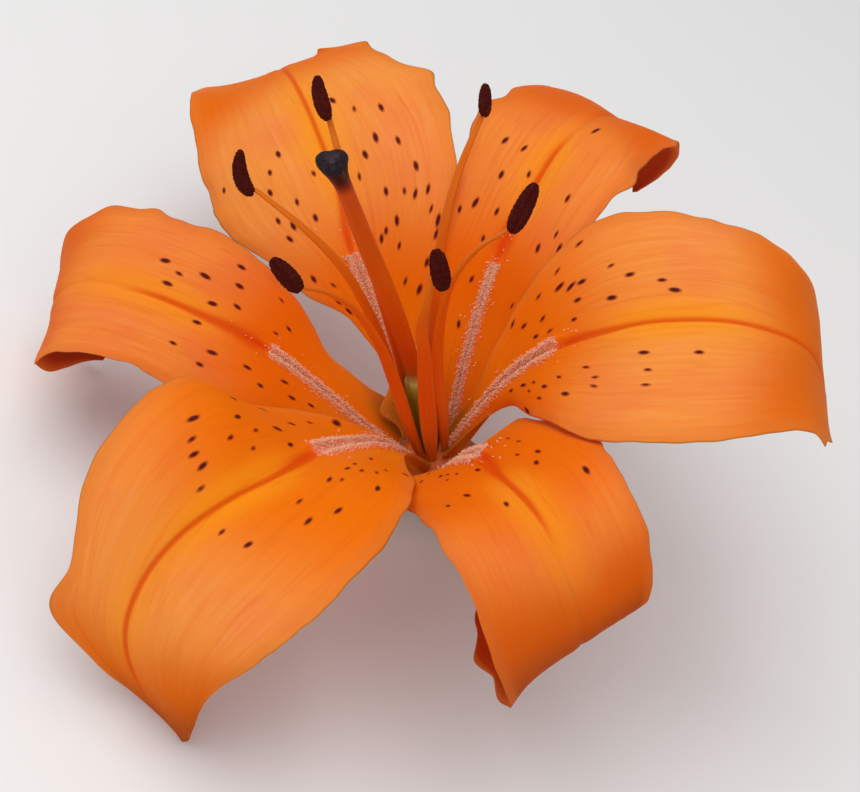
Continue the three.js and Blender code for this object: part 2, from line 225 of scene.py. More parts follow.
stations = np.array(STALK_STATIONS, float)
knots = np.linspace(0, 1, STALK_RINGS)
course = np.stack([station(stations[:, k], knots) for k in range(3)], -1)
radius = station(stations[:, 3], knots)[:, None]
angle = np.linspace(0, 2 * np.pi, STALK_POINTS, endpoint=False)[None]
# Nine soft ribs and finer ones between, whose crests reach the radius.
ribs = 0.958 + 0.03 * np.cos(9 * angle) + 0.012 * np.sin(23 * angle + 3 * knots[:, None])
reach = radius * ribs
rings = swept(course, np.array([0, 1.0, 0]), reach * np.cos(angle), reach * np.sin(angle))
# The rings of the cut close in on the middle, where the soft pith has shrunk a little.
inward = np.linspace(0.04, 0.96, CUT_RINGS)[:, None, None]
down = (course[0] - course[1]) / np.linalg.norm(course[0] - course[1])
face = course[0] + (rings[0] - course[0]) * inward - down * 0.25 * (1 - inward**4)
rings = np.concatenate([face, rings])
length = np.concatenate([np.zeros(CUT_RINGS), 0.2 * np.arange(1, STALK_RINGS + 1)])[:, None]
reach = np.concatenate([reach[0] * inward[..., 0], reach])
stalk = grown(
    "stalk_and_receptacle",
    rings,
    {
        "upward": np.concatenate([np.zeros(CUT_RINGS), knots])[:, None],
        "cut": np.where(np.arange(len(rings)) <= CUT_RINGS, 1.0, 0.0)[:, None],
        "grain": np.stack(
            np.broadcast_arrays(reach * np.cos(angle), length, reach * np.sin(angle)), -1
        ),
    },
    stalk_skin,
)
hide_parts("flower_stalk")


# ---- pistil ----
# The seed vessel, its style and the stigma, grown as one on the receptacle: a green six-ribbed
# ovary, a fleshy orange style, and a velvety dark stigma whose three lobes stand proud of it.
# Stations of x, y, z and radius in mm, and how deep the three lobes are, as a share of the radius.
PISTIL_STATIONS = [
    (0, 0, 0, 1.5, 0), (0, 0, 2, 1.9, 0.12), (-0.1, 0.1, 9, 2.1, 0.16), (-0.4, 0.5, 16.5, 1.9, 0.12),
    (-0.5, 0.6, 18.5, 1.35, 0), (-0.7, 0.7, 22, 1.45, 0), (-2.1, 0.4, 36, 1.6, 0),
    (-4.3, -0.3, 52, 1.45, 0), (-5.7, -0.8, 63, 1.3, 0), (-6.3, -0.9, 66, 1.5, 0.06),
    (-6.7, -1, 67.8, 1.95, 0.14), (-6.8, -1, 69.3, 2.05, 0.16), (-6.85, -1, 70.3, 1.4, 0.12),
]
# Rings up the pistil, points round each, and the height at which its colours end, mm.
PISTIL_RINGS, PISTIL_POINTS, STIGMA_TOP = 241, 72, 70.1
# The ovary's ribs end and the style begins between these heights, and the velvety stigma begins
# between those, in mm.
OVARY_END, STIGMA_FROM = (16.5, 18.5), (66.5, 68)


def bell(distance, spread):
    """Soft bump: 1 at no distance, falling as the square of distance over spread."""
    return np.exp(-((distance / spread) ** 2))


def sown(name, points, faces, feet, directions, girths, lengths, tissue):
    """Many copies of one small closed shape in one mesh: its x and y go across each direction
    times the girth, its z goes along the direction times the length."""
    directions = directions / np.linalg.norm(directions, axis=1, keepdims=True)
    helper = np.where(np.abs(directions[:, 2:]) < 0.8, [[0, 0, 1.0]], [[1.0, 0, 0]])
    side = np.cross(helper, directions)
    side /= np.linalg.norm(side, axis=1, keepdims=True)
    front = np.cross(directions, side)
    shape = np.array(points, float)
    across = side[:, None] * shape[None, :, :1] + front[:, None] * shape[None, :, 1:2]
    along = directions[:, None] * shape[None, :, 2:]
    vertices = feet[:, None] + across * girths[:, None, None] + along * lengths[:, None, None]
    first = np.arange(len(feet))[:, None, None] * len(shape)
    corners = (np.array(faces)[None] + first).reshape(-1, 3)
    mesh = bpy.data.meshes.new(name)
    mesh.from_pydata(laid_down(vertices.reshape(-1, 3)).tolist(), [], corners.tolist())
    mesh.polygons.foreach_set("use_smooth", np.ones(len(mesh.polygons), bool))
    column = mesh.attributes.new("tipward", "FLOAT", "POINT")
    column.data.foreach_set("value", np.tile(shape[:, 2], len(feet)).astype(np.float32))
    return placed(name, mesh, tissue)


# Living tissue in one piece, green below with a pale ring at the ovary's top that is a painted
# highlight, orange along the style and purple-black at the top, with a waxy skin and faint fibres
# 0.7 mm apart lengthwise.
pistil_tissue, shader, _ = fibred_tissue(
    "pistil_tissue",
    [
        # Painted highlight: the pale ring where the ovary's top curves over.
        (0, "#6E7420"), (0.2, "#8C8E12"), (0.245, "#B4C258"), (0.262, "#C9CF86"), (0.285, "#C8781A"),
        (0.33, "#E0640A"), (0.6, "#E66E0C"), (0.9, "#DA5A0A"), (0.925, "#8E2A10"), (0.945, "#2C1018"),
        (1, "#241019"),
    ],
    shade="#E6C4AE",
    per_mm=1.4,
    detail=4,
    strength=0.3,
    depth=0.0001,
)
shader.inputs["Roughness"].default_value = 0.45
shader.inputs["Specular IOR Level"].default_value = 0.3
shader.inputs["Subsurface Weight"].default_value = 0.15
shader.inputs["Subsurface Radius"].default_value = (1.0, 0.3, 0.1)
shader.inputs["Subsurface Scale"].default_value = 0.001

stations = np.array(PISTIL_STATIONS, float)
knots = np.linspace(0, 1, PISTIL_RINGS)
angle = np.linspace(0, 2 * np.pi, PISTIL_POINTS, endpoint=False)[None]
course = np.stack([station(stations[:, k], knots) for k in range(3)], -1)
radius, lobes = (station(stations[:, k], knots)[:, None] for k in (3, 4))
height = course[:, 2:]
ribs = 0.045 * (1 - eased(*OVARY_END, height)) * np.cos(6 * angle) * eased(0, 3, height)
stigma = eased(*STIGMA_FROM, height)
cleft = 0.07 * stigma * bell(np.abs(np.angle(np.exp(1j * (3 * angle + np.pi / 2)))) / 3, 0.16)
reach = radius * (1 + lobes * np.sin(3 * angle) + ribs - cleft)
centre = course[:, None]
spokes = np.stack(np.broadcast_arrays(np.cos(angle), np.sin(angle), 0 * angle), -1)
rings = centre + reach[..., None] * spokes
rings[..., 2] += 0.9 * stigma * lobes * np.sin(3 * angle)
pistil = grown(
    "pistil_in_one",
    rings,
    {
        "upward": height / STIGMA_TOP,
        "grain": np.stack(np.broadcast_arrays(4 * np.cos(angle), height, 4 * np.sin(angle)), -1),
    },
    pistil_tissue,
)
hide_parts("pistil")

# The stigma's velvet: short blunt papillae, dark purple, their moist tips painted paler as a
# painted sheen that gives the grey bloom. A four-sided finger: foot, shoulder and point, its
# height from 0 to 1.
FINGER = [(1, 0, 0), (0, 1, 0), (-1, 0, 0), (0, -1, 0)]
FINGER += [(0.8, 0, 0.75), (0, 0.8, 0.75), (-0.8, 0, 0.75), (0, -0.8, 0.75), (0, 0, 1)]
FINGER_FACES = [(0, 1, 5), (0, 5, 4), (1, 2, 6), (1, 6, 5), (2, 3, 7), (2, 7, 6), (3, 0, 4), (3, 4, 7)]
FINGER_FACES += [(4, 5, 8), (5, 6, 8), (6, 7, 8), (7, 4, 8), (2, 1, 0), (3, 2, 0)]
# The velvet is sown on the pistil's rings from this one up and kept from this height in mm. The
# count is of what is sown.
VELVET_RING, VELVET_HEIGHT, VELVET_COUNT = 208, 66.6, 1800


def finger_tissue(name, foot, tip):
    """Clear tissue of fine fingers: from the foot's colour to the tip's along each of them."""
    made, tree, shader = begun(name)
    tipward = add(tree, "ShaderNodeAttribute", attribute_name="tipward").outputs["Fac"]
    tint = add(tree, "ShaderNodeValToRGB", links={"Fac": tipward})
    tint.color_ramp.elements[0].color = linear(foot)
    tint.color_ramp.elements[1].color = linear(tip)
    tree.links.new(tint.outputs["Color"], shader.inputs["Base Color"])
    return made, shader


# Painted sheen: the paler tips.
velvet, shader = finger_tissue("stigma_velvet", "#160810", "#34202C")
shader.inputs["Roughness"].default_value = 0.55

rng = np.random.default_rng(5)
row = rng.integers(VELVET_RING, PISTIL_RINGS - 1, VELVET_COUNT)
column = rng.integers(0, PISTIL_POINTS, VELVET_COUNT)
feet = rings[row, column]
away = feet - course[row] + np.array([0, 0, 0.8]) * eased(68.5, 70, height[row])
keep = height[row, 0] > VELVET_HEIGHT
nap = sown(
    "stigma_papillae",
    FINGER,
    FINGER_FACES,
    feet[keep],
    away[keep] + rng.normal(0, 0.25, (keep.sum(), 3)),
    rng.uniform(0.05, 0.09, keep.sum()),
    rng.uniform(0.12, 0.22, keep.sum()),
    velvet,
)


# ---- tepals: three broad petals over three narrower sepals ----
# Waxy living blades under a millimetre thick, grown from the rim of the receptacle. Each has a
# fleshy furrowed midrib, fine veins fanning out from the claw, rippled margins and raised spots.
BLADE_THICKNESS, EDGE_THICKNESS, CLAW_THICKNESS, TIP_HALF_WIDTH = 0.8, 0.28, 1.4, 0.3
# Relief in mm: the nectary's lips and furrow, the midrib's groove and the folds beside it, veins,
# dimples and spots on the upper face, and the rib on the lower one. A spot's half width, mm.
LIP_RISE, FURROW_DEPTH, GROOVE_DEPTH, FOLD_RISE = 0.55, 0.12, 0.16, 0.09
VEIN_RISE, DIMPLE_DEPTH, SPOT_RISE, RIB_RISE, SPOT_HALF_WIDTH = 0.012, 0.13, 0.12, 0.5, 0.34
# For each whorl: distance from the axis and height of its bases, half widths at equal stations,
# veins in half a blade, the grain's width on it, and the midrib's red line: its half width, how
# much wider it flames up at the nectary's end, and how far along the blade it ends.
PETAL = {
    "slot": "petal",
    "base": (4, 0),
    "half_widths": [3.6, 3, 11, 21, 22.5, 18, 12, TIP_HALF_WIDTH],
    "veins": 9,
    "grain": 20,
    "line": (0.5, 0.5, 0.97),
}
SEPAL = {
    "slot": "sepal",
    "base": (6.2, -1.4),
    "half_widths": [4, 8.5, 13, 14.5, 14.5, 14.5, 10.5, TIP_HALF_WIDTH],
    "veins": 6,
    "grain": 14,
    "line": (0.6, 1.1, 0.64),
}
# Degrees at equal stations from base to tip: rise of the midrib, swing of its azimuth, twist
# about it, keel beside it, and curl out to the left and right margins. Wave and shift are in mm.
# The nectary is how far up its papillae go, and how far left of the midrib its two lips end, mm.
# Drift is how far left of the middle the midrib's line wanders, mm. Deep is how far along the
# deeper orange of the throat has half given way, and tip where the painted shade of the tip, a
# deeper orange and then brown at its very end, has half begun.
# Swells are (hundredths along, their half length, mm outwards) on the left and the right margin.
# Nudge moves the tip, mm. Fluff is how much taller the papillae stand than on the others.
TEPALS = {
    "petal_back": {
        "whorl": PETAL, "azimuth": 107, "length": 101,
        "rise": [56, 51, 42, 16, -5, -39, -75], "swing": [0, -6, 1, -4],
        "twist": [0, -8, -10, 16], "keel": [21, 9, 0],
        "curl": ([-12, -31, -18, -7], [-11, -17, -24, -10]),
        "wave": ([0, -0.3, 0.1, -1.6, 2.1, 0], [0, -0.4, 0.8, -2.2, 2, 0]),
        "shift": [0, -0.8, -0.4, 0.3, 0], "nectary": (33, 2.4, 0.9), "drift": -2.6, "deep": 0.40,
        "tip": (0.72, 0.95),
        "swells": (
            [(6, 2.5, 3.2), (23, 3, -0.7), (28.5, 3, 1.4), (57, 5, -0.7), (88, 5, 1.2)],
            [
                (22, 7, 1.6), (45, 4, -0.8), (59.5, 3, 1.8), (64.5, 2, 0.2), (75.5, 3, 2.4),
                (81, 3.5, -3.4),
            ],
        ),
    },
    "petal_right": {
        "whorl": PETAL, "azimuth": -9, "length": 100.5,
        "rise": [61, 55, 39, 16, -22, -77, -88], "swing": [0, -11, -2, 17],
        "twist": [0, 7, 7, 15], "keel": [34, 16, -2],
        "curl": ([-27, -20, -15, -12], [3, -25, -15, -7]),
        "wave": ([0, 1.6, 1.7, -2.9, 0.6, 0], [0, -2.3, -0.2, 0.7, 1.4, 0]),
        "shift": [0, 0.6, -0.9, 0.4, 0], "nectary": (33, 1.8, -1.1), "drift": 0, "deep": 0.45,
        "tip": (0.68, 0.93),
        "swells": (
            [(52, 8, -1.3), (52, 3, 0.9), (60, 3, -0.5), (73, 5, -0.7)],
            [(22, 2.5, -0.2), (29, 5, 1.2), (59, 4, 0.5), (66, 8, 0.9), (79, 2.5, 2.2)],
        ),
    },
    "petal_front_left": {
        "whorl": PETAL, "azimuth": -139, "length": 100.5,
        "rise": [68, 48, 39, 24, -18, -56, -100], "swing": [0, 14, -1, 52],
        "twist": [0, -7, -20, 57], "keel": [0, 27, -2],
        "curl": ([-67, -32, -16, -33], [22, -6, -15, -22]),
        "wave": ([3, 1.4, -0.75, 1.1, -0.7, 0], [0, 1.3, -3.1, -5.7, 2, 0]),
        "shift": [0, 1.6, 0, 3.5, 0], "nectary": (34.5, 0.9, -2.5), "drift": -2.5, "deep": 0.65,
        "tip": (0.83, 0.91),
        "swells": (
            [
                (23, 10, 3.0), (42, 4, -1.0), (56, 14, -0.5), (82, 3, -1.0), (86, 3, -2.2),
                (90, 3, -2.6), (94, 3, -1.9),
            ],
            [
                (25, 9, 1.5), (35, 3, -0.8), (66, 6, 1.2), (75, 3, -0.6), (80.5, 3.5, 3.7),
                (87, 3, -0.4), (92.5, 3, 3.2),
            ],
        ),
        "nudge": (3.78, -1.37, -1.57),
    },
    "sepal_back_right": {
        "whorl": SEPAL, "azimuth": 46, "length": 96.5,
        "rise": [64, 55, 41, 17, -23, -67, -103], "swing": [0, 1, 1, -25],
        "twist": [0, -4, -1, 5], "keel": [25, 18, 7],
        "curl": ([-10, -24, -21, -9], [-11, -18, -26, -11]),
        "wave": ([0, 0, -0.2, 0.4, -0.7, 0], [0, 0, 1, -2.6, 1.5, 0]),
        "shift": [0, 0, 0, 0.8, 0], "nectary": (31, 1.0, 0.0), "drift": 0, "deep": 0.43,
        "tip": (0.64, 0.93),
        "swells": (
            [(54, 3, 2.0), (58.5, 2.5, 2.4), (67, 3, 0.8), (73, 4, -0.5)],
            [(54, 3, 1.5), (72, 3, 1.5)],
        ),
    },
    "sepal_front": {
        "whorl": SEPAL, "azimuth": -74, "length": 96,
        "rise": [59, 54, 38, 20, -44, -115, -183], "swing": [0, 3, 0, -24],
        "twist": [0, 5, -11, -32], "keel": [20, 12, -2],
        "curl": ([-15, -17, -10, -20], [-9, -24, -19, -60]),
        "wave": ([0, 0.2, -1.5, 0.7, 0.9, 0], [0.7, 0.3, -0.4, 2.6, 4.8, 0]),
        "shift": [0, -0.2, 0, -2.2, 0], "nectary": (26.5, 2.6, 0.4), "drift": 0, "deep": 0.62,
        "tip": (0.67, 0.77),
        "swells": (
            [(6, 3, 1.8), (9.5, 3, 3.0), (13, 4, 2.6), (17, 5, 2.4), (46, 3, 0.8)],
            [
                (39, 4, -0.6), (56, 3, 0.9), (84, 1.5, 0.6), (88, 1.5, -0.9), (91, 1.5, 0.9),
                (94.5, 1.5, -1.2),
            ],
        ),
        "nudge": (-13.5, 4.9, -0.5), "fluff": 1.6,
    },
    "sepal_left": {
        "whorl": SEPAL, "azimuth": 166, "length": 95.5,
        "rise": [51, 56, 47, 23, -15, -74, -123], "swing": [0, -3, -15, 4],
        "twist": [0, 0, -14, -12], "keel": [24, 10, -2],
        "curl": ([-10, -33, -13, -11], [-11, -25, -17, -15]),
        "wave": ([0, 0, -1.1, 2, 1.7, 0], [0, -0.5, 1.4, -1.1, 1.6, 0]),
        "shift": [0, 0.1, -0.5, -0.3, 0], "nectary": (31, 0.3, -1.3), "drift": 0, "deep": 0.46,
        "tip": (0.74, 0.95),
        "swells": (
            [(53, 3, -0.8), (73, 3, 1.8), (79, 4, 0.6), (88, 6, 1.6)],
            [(5, 4, 2.2), (21, 5, -2.4), (47, 6, 1.0), (57, 6, 0.6), (62, 2, 0.9), (69, 3, 0.8)],
        ),
        "nudge": (3.0, 1.0, 1.2),
    },
}
# Raised spots as (mm along the midrib, hundredths of the half width to its left).
SPOTS = {
    "petal_back": [
        (61, -26), (57, -36), (55, -54), (50, -40), (48, -55), (48, -28), (45, -18), (43, -64),
        (39, -74), (41, -36), (40, -52), (39, -62), (36, -80), (36, -44), (35, -32), (34, -26),
        (32, -47), (34, -91), (32, -93), (28, -87), (26, -57), (24, -82), (56, 32), (53, 44),
        (49, 14), (49, 51), (56, 84), (45, 36), (41, 29), (43, 58), (41, 50), (39, 61), (31, 77),
        (29, 60), (26, 75), (24, 74),
    ],
    "petal_right": [
        (39, 88), (35, 81), (44, 53), (47, 41), (39, 52), (35, 64), (37, 55), (31, 77), (52, 32),
        (54, 23), (38, 38), (44, 26), (31, 48), (37, 22), (25, 86), (27, 64), (32, 27), (29, 34),
        (50, -28), (51, -44), (51, -57), (41, -38), (43, -48), (43, -56), (36, -48), (38, -66),
        (30, -54), (27, -55), (33, -61), (29, -68), (32, -77), (23, -59), (28, -95), (58, -31),
    ],
    "petal_front_left": [
        (43, -70), (36, -76), (54, -62), (47, -49), (45, -36), (39, -38), (51, -37), (56, -51),
        (48, -24), (33, -57), (28, -72), (39, -20), (22, -86), (57, -42), (57, -32), (59, -21),
        (50, 32), (52, 48), (48, 57), (60, 32), (61, 13), (43, 33), (42, 41), (38, 37), (35, 39),
        (37, 49), (35, 62), (31, 70), (28, 47), (26, 90), (40, 69),
    ],
    "sepal_back_right": [
        (51, 60), (51, 35), (60, -26), (45, 42), (47, 13), (39, 57), (37, 73), (39, 27), (34, 30),
        (45, -53), (39, -65), (36, -51), (37, -80), (27, 27), (19, 31), (26, -53),
    ],
    "sepal_front": [
        (29, 48), (33, 48), (37, 32), (40, 48), (43, 36), (50, 69), (42, -44), (43, -68),
        (49, -20), (33, -9), (31, -30), (28, -45), (29, -38), (32, -44), (21, -55), (25, -68),
    ],
    "sepal_left": [
        (53, -43), (50, -34), (51, -18), (46, -44), (41, -77), (40, -55), (32, -76), (43, -18),
        (39, -30), (44, 13), (31, -30), (29, -48), (46, 51), (40, 42), (41, 62), (34, 39),
        (31, 54), (27, 30), (25, 48), (21, 43),
    ],
}
# The nudge sets in this far along. Rows of each blade, and its columns above and below.
NUDGE_FROM = 0.78
ROWS, UPPER_COLUMNS, LOWER_COLUMNS = 250, 120, 44


def midrib_of(tepal, steps=1400):
    """Course and frame of the midrib: small steps along (cos rise cos azimuth, cos rise sin
    azimuth, sin rise) added up from the claw; the side vector is rolled about it by the twist.
    The nudge is eased in towards the tip."""
    start = math.radians(tepal["azimuth"])
    u = np.linspace(0, 1, 2 * steps + 1)
    rise = np.radians(station(tepal["rise"], u))
    azimuth = start + np.radians(station(tepal["swing"], u))
    along = np.stack([np.cos(rise) * np.cos(azimuth), np.cos(rise) * np.sin(azimuth), np.sin(rise)], -1)
    level = np.stack([-np.sin(azimuth), np.cos(azimuth), 0 * azimuth], -1)
    radius, height = tepal["whorl"]["base"]
    base = np.array([[radius * math.cos(start), radius * math.sin(start), height]])
    course = np.concatenate([base, base + np.cumsum(along[1::2], 0) * tepal["length"] / steps])
    u, along, level = u[::2], along[::2], level[::2]
    course = course + eased(NUDGE_FROM, 1, u)[:, None] * np.array(tepal.get("nudge", (0, 0, 0)))
    roll = np.radians(station(tepal["twist"], u))[:, None]
    side = level * np.cos(roll) + np.cross(along, level) * np.sin(roll)
    return u, course, side, np.cross(along, side)


def half_width(tepal, u, left):
    """Half width on one side in mm: the whorl's profile plus or minus the blade's shift."""
    lean = station(tepal["shift"], u) * np.where(left, 1, -1)
    return np.maximum(station(tepal["whorl"]["half_widths"], u) + lean, TIP_HALF_WIDTH)


def upper_face(tepal, midrib, u, v):
    """Upper face at u along and v across (1 is the left margin): from the midrib a circular arc
    that starts at the keel angle and bends by the curl, lifted by the wave times v cubed, with
    fine ripples, shallow notches and the swells close to the margin."""
    knots, *fields = midrib
    centre, side, up = (
        np.stack([np.interp(u, knots, field[:, k]) for k in range(3)], -1) for field in fields
    )
    left, out = v > 0, np.abs(v)
    width = half_width(tepal, u, left)
    keel = np.radians(station(tepal["keel"], u))
    curl = np.where(left, *[np.radians(station(values, u)) for values in tepal["curl"]])
    curl = np.where(np.abs(curl) < 1e-4, 1e-4, curl)
    wave = np.where(left, *[station(values, u) for values in tepal["wave"]]) * out**3
    phase = tepal["azimuth"] + 2.1 * left
    ripple = np.sin(u * 47 + phase) + 0.6 * np.sin(u * 93 + 2.3 * phase)
    wave = wave + 0.15 * ripple * out**9 * np.minimum(width / 12, 1)
    notch = np.sin(u * 61 + 1.7 * phase) + 0.6 * np.sin(u * 137 + phase)
    swells = (sum(mm * bell(100 * u - at, half) for at, half, mm in side) for side in tepal["swells"])
    width = width - 0.09 * (1 + notch) * out**6 * eased(0.3, 0.5, u) * (1 - eased(0.9, 1, u))
    width = width + np.where(left, *swells) * out**4
    across = width * (np.sin(keel + curl * out) - np.sin(keel)) / curl
    raised = width * (np.cos(keel) - np.cos(keel + curl * out)) / curl + wave
    return centre + side * np.where(left, across, -across)[..., None] + up * raised[..., None]


def upper_normal(tepal, midrib, u, v):
    """Unit normal of the upper face: the step along crossed with the step across."""
    step = 2e-3
    along = upper_face(tepal, midrib, np.minimum(u + step, 1), v)
    along = along - upper_face(tepal, midrib, np.maximum(u - step, 0), v)
    across = upper_face(tepal, midrib, u, v + step) - upper_face(tepal, midrib, u, v - step)
    normal = np.cross(along, across)
    return normal / np.maximum(np.linalg.norm(normal, axis=-1, keepdims=True), 1e-12)


def nectary_lips(tepal, mm):
    """How far left of the midrib the two lips stand, mm: 0.75 either side in the claw, drifting
    to their ends at the nectary's, then closing on the midrib over the next 14 mm."""
    reach, left, right = tepal["nectary"]
    t = np.clip(mm / reach, 0, 1) ** 1.5
    closing = 1 - eased(reach, reach + 14, mm)
    return (0.75 * (1 - t) + left * t) * closing, (-0.75 * (1 - t) + right * t) * closing


def line_drift(tepal, u):
    """How far left of the blade's middle the midrib's line has wandered at u, mm."""
    return tepal["drift"] * eased(0.45, 0.8, u)


def spot_depth(name, mm, v, width):
    """Depth inside the nearest spot in mm, less than 0 outside it: each spot is an ellipse drawn
    out along the veins, its size varied by a seeded quarter, and a fifth smaller in the throat."""
    rng = np.random.default_rng(len(name))
    depth = np.full(mm.shape, -3.0)
    for along, across in SPOTS[name]:
        wide = SPOT_HALF_WIDTH * rng.uniform(0.75, 1.25) * (0.8 if along < 33 else 1.0)
        long = wide * rng.uniform(1.8, 2.4)
        x = (v - across / 100) * width - rng.uniform(-0.2, 0.2) * (mm - along)
        depth = np.maximum(depth, wide * (1 - np.hypot(x / wide, (mm - along) / long)))
    return depth


def upper_relief(name, tepal, u, v, width):
    """Height in mm over the plain blade: two lips beside the nectary's furrow, the midrib's
    groove beyond it, soft folds beside the groove, irregular veins, low dimples and spots."""
    mm = u * tepal["length"]
    out = v * width
    left, right = nectary_lips(tepal, mm)
    reach = tepal["nectary"][0]
    nectary = 1 - eased(reach - 3, reach + 6, mm)
    height = LIP_RISE * nectary * (bell(out - left, 0.5) + bell(out - right, 0.5))
    from_furrow = out - (left + right) / 2
    height -= FURROW_DEPTH * nectary * bell(from_furrow, 0.5) * eased(0.4, 0.9, mm / reach)
    line = from_furrow - line_drift(tepal, u)
    height -= GROOVE_DEPTH * (1 - nectary) * bell(line, 0.45) * (1 - eased(0.88, 1, u))
    folds = eased(0.3, 0.45, u) * (1 - eased(0.8, 0.95, u))
    height += FOLD_RISE * bell(np.abs(line) - 1.7, 1.0) * folds
    seed = tepal["azimuth"]
    veins = 2 * np.pi * np.abs(v) * tepal["whorl"]["veins"]
    veins = np.sin(veins + 2.2 * np.sin(5 * v + 4 * u + seed)) + 0.6 * np.sin(2.7 * veins + 9 * u + seed)
    height += VEIN_RISE * veins * eased(0.2, 0.5, u)
    dimples = np.sin(0.21 * mm + seed) * np.sin(0.33 * out + 2 * seed)
    dimples = dimples + 0.6 * np.sin(0.47 * mm - 0.4 * out + seed)
    height += DIMPLE_DEPTH * dimples * eased(0.2, 0.5, u)
    height += SPOT_RISE * eased(-0.15, 0.3, spot_depth(name, mm, v, width))
    return height * (1 - np.abs(v) ** 16)


def layered(tree, flesh, layers):
    """Colours laid one over the other. Each layer is what drives it, where it starts and is full,
    how strong it is, and its colour."""
    for source, start, full, strength, colour in layers:
        span = {"From Min": start, "From Max": full, "To Max": strength}
        factor = add(
            tree, "ShaderNodeMapRange", span, {"Value": source}, interpolation_type="SMOOTHSTEP"
        ).outputs["Result"]
        flesh = add(
            tree, "ShaderNodeMix", {7: linear(colour)}, {0: factor, 6: flesh}, data_type="RGBA"
        ).outputs[2]
    return flesh


def tepal_tissue(name, colours):
    """Living tepal: orange pigment in cells under a waxy skin, so a satin sheen over colour that
    glows where light comes through. The grain attribute holds mm across and along the blade."""
    made, tree, shader = begun(name)
    read = {
        key: add(tree, "ShaderNodeAttribute", attribute_name=key).outputs["Fac"]
        for key in (
            "throat", "inner", "band", "tipward", "end", "midrib", "furrow", "lips", "claw", "rim",
            "spot", "under",
        )
    }
    grain = add(tree, "ShaderNodeAttribute", attribute_name="grain").outputs["Vector"]
    # Streaks of cells 0.5 mm wide and 15 mm long, and among them sap vessels as hair lines some
    # 2 mm apart, where a drawn-out noise passes its middle.
    place = add(tree, "ShaderNodeMapping", {"Scale": (1, 0.05, 1)}, {"Vector": grain}).outputs["Vector"]
    streaks = add(
        tree, "ShaderNodeTexNoise", {"Scale": 1.3, "Detail": 5, "Roughness": 0.6}, {"Vector": place}
    ).outputs["Fac"]
    wander = add(
        tree, "ShaderNodeTexNoise", {"Scale": 0.42, "Detail": 2, "Roughness": 0.4}, {"Vector": place}
    ).outputs["Fac"]
    vessels = add(tree, "ShaderNodeMath", {1: 0.5}, {0: wander}, operation="PINGPONG").outputs[0]
    # Patches of paler salmon about 12 mm across, which with the salmon of the outer blade is partly a
    # painted sheen of the sky on the waxy skin, and single cells as fine as shows, 0.3 mm.
    patches = add(
        tree, "ShaderNodeTexNoise", {"Scale": 0.085, "Detail": 3}, {"Vector": grain}
    ).outputs["Fac"]
    cells = add(
        tree, "ShaderNodeTexNoise", {"Scale": 3, "Detail": 3, "Roughness": 0.65}, {"Vector": grain}
    ).outputs["Fac"]
    patchy = {"From Min": 0.42, "From Max": 0.66, "To Max": 0.6}
    patchy = add(
        tree, "ShaderNodeMapRange", patchy, {"Value": patches}, interpolation_type="SMOOTHSTEP"
    ).outputs["Result"]
    flesh = {6: linear(colours["outer"]), 7: linear(colours["patch"])}
    flesh = add(tree, "ShaderNodeMix", flesh, {0: patchy}, data_type="RGBA").outputs[2]
    flesh = layered(
        tree,
        flesh,
        (
            (streaks, 0.55, 0.3, 0.25, colours["pale"]),
            (read["inner"], 0, 1, 1, colours["inner"]),
            # Painted light: the throat is painted brighter, standing in for light that shines through
            # the petals into it.
            (read["throat"], 0, 1, 0.6, colours["throat"]),
            # Painted shade: the tip turns down away from the light, so it is painted a deeper orange.
            (read["tipward"], 0, 1, 0.97, colours["tip"]),
            (read["band"], 0, 1, 0.82, colours["band"]),
            # Painted shade: the very end, rolled under, is painted brown.
            (read["end"], 0, 1, 0.9, colours["end"]),
            (streaks, 0.55, 0.75, 0.22, colours["vein"]),
            (vessels, 0.47, 0.5, 0.16, colours["vein"]),
            # Painted shade: olive-brown across the claw towards its margins, where the throat shades it.
            (read["claw"], 0, 1, 0.75, colours["claw"]),
            (read["midrib"], 0, 1, 0.85, colours["midrib"]),
            (read["furrow"], 0, 1, 0.6, colours["furrow"]),
            (read["lips"], 0, 1, 0.9, colours["lips"]),
            # Painted shade: the margins, where the blade curves away, are painted darker.
            (read["rim"], 0, 1, 0.5, colours["rim"]),
        ),
    )
    back = {6: linear(colours["back_vein"]), 7: linear(colours["back"])}
    back = add(tree, "ShaderNodeMix", back, {0: streaks}, data_type="RGBA").outputs[2]
    claw = {7: linear(colours["back_claw"])}
    back = add(tree, "ShaderNodeMix", claw, {0: read["inner"], 6: back}, data_type="RGBA").outputs[2]
    flesh = add(
        tree, "ShaderNodeMix", links={0: read["under"], 6: flesh, 7: back}, data_type="RGBA"
    ).outputs[2]
    # A spot is nearly black inside a narrow reddish ring.
    spots = ((read["spot"], -0.2, 0.03, 0.8, "#A6361A"), (read["spot"], -0.02, 0.12, 0.95, "#4E1A1C"))
    flesh = layered(tree, flesh, spots)
    tree.links.new(flesh, shader.inputs["Base Color"])
    relief = add(tree, "ShaderNodeMath", {1: 1.5}, {0: streaks, 2: cells}, operation="MULTIPLY_ADD")
    bump = add(
        tree, "ShaderNodeBump", {"Strength": 0.35, "Distance": 0.0001}, {"Height": relief.outputs[0]}
    )
    tree.links.new(bump.outputs["Normal"], shader.inputs["Normal"])
    shader.inputs["Roughness"].default_value = 0.55
    shader.inputs["IOR"].default_value = 1.35
    shader.inputs["Specular IOR Level"].default_value = 0.05
    shader.inputs["Specular Tint"].default_value = linear("#FFB070")
    shader.inputs["Subsurface Weight"].default_value = 0.4
    shader.inputs["Subsurface Radius"].default_value = (1.0, 0.5, 0.12)
    shader.inputs["Subsurface Scale"].default_value = 0.0006
    return made
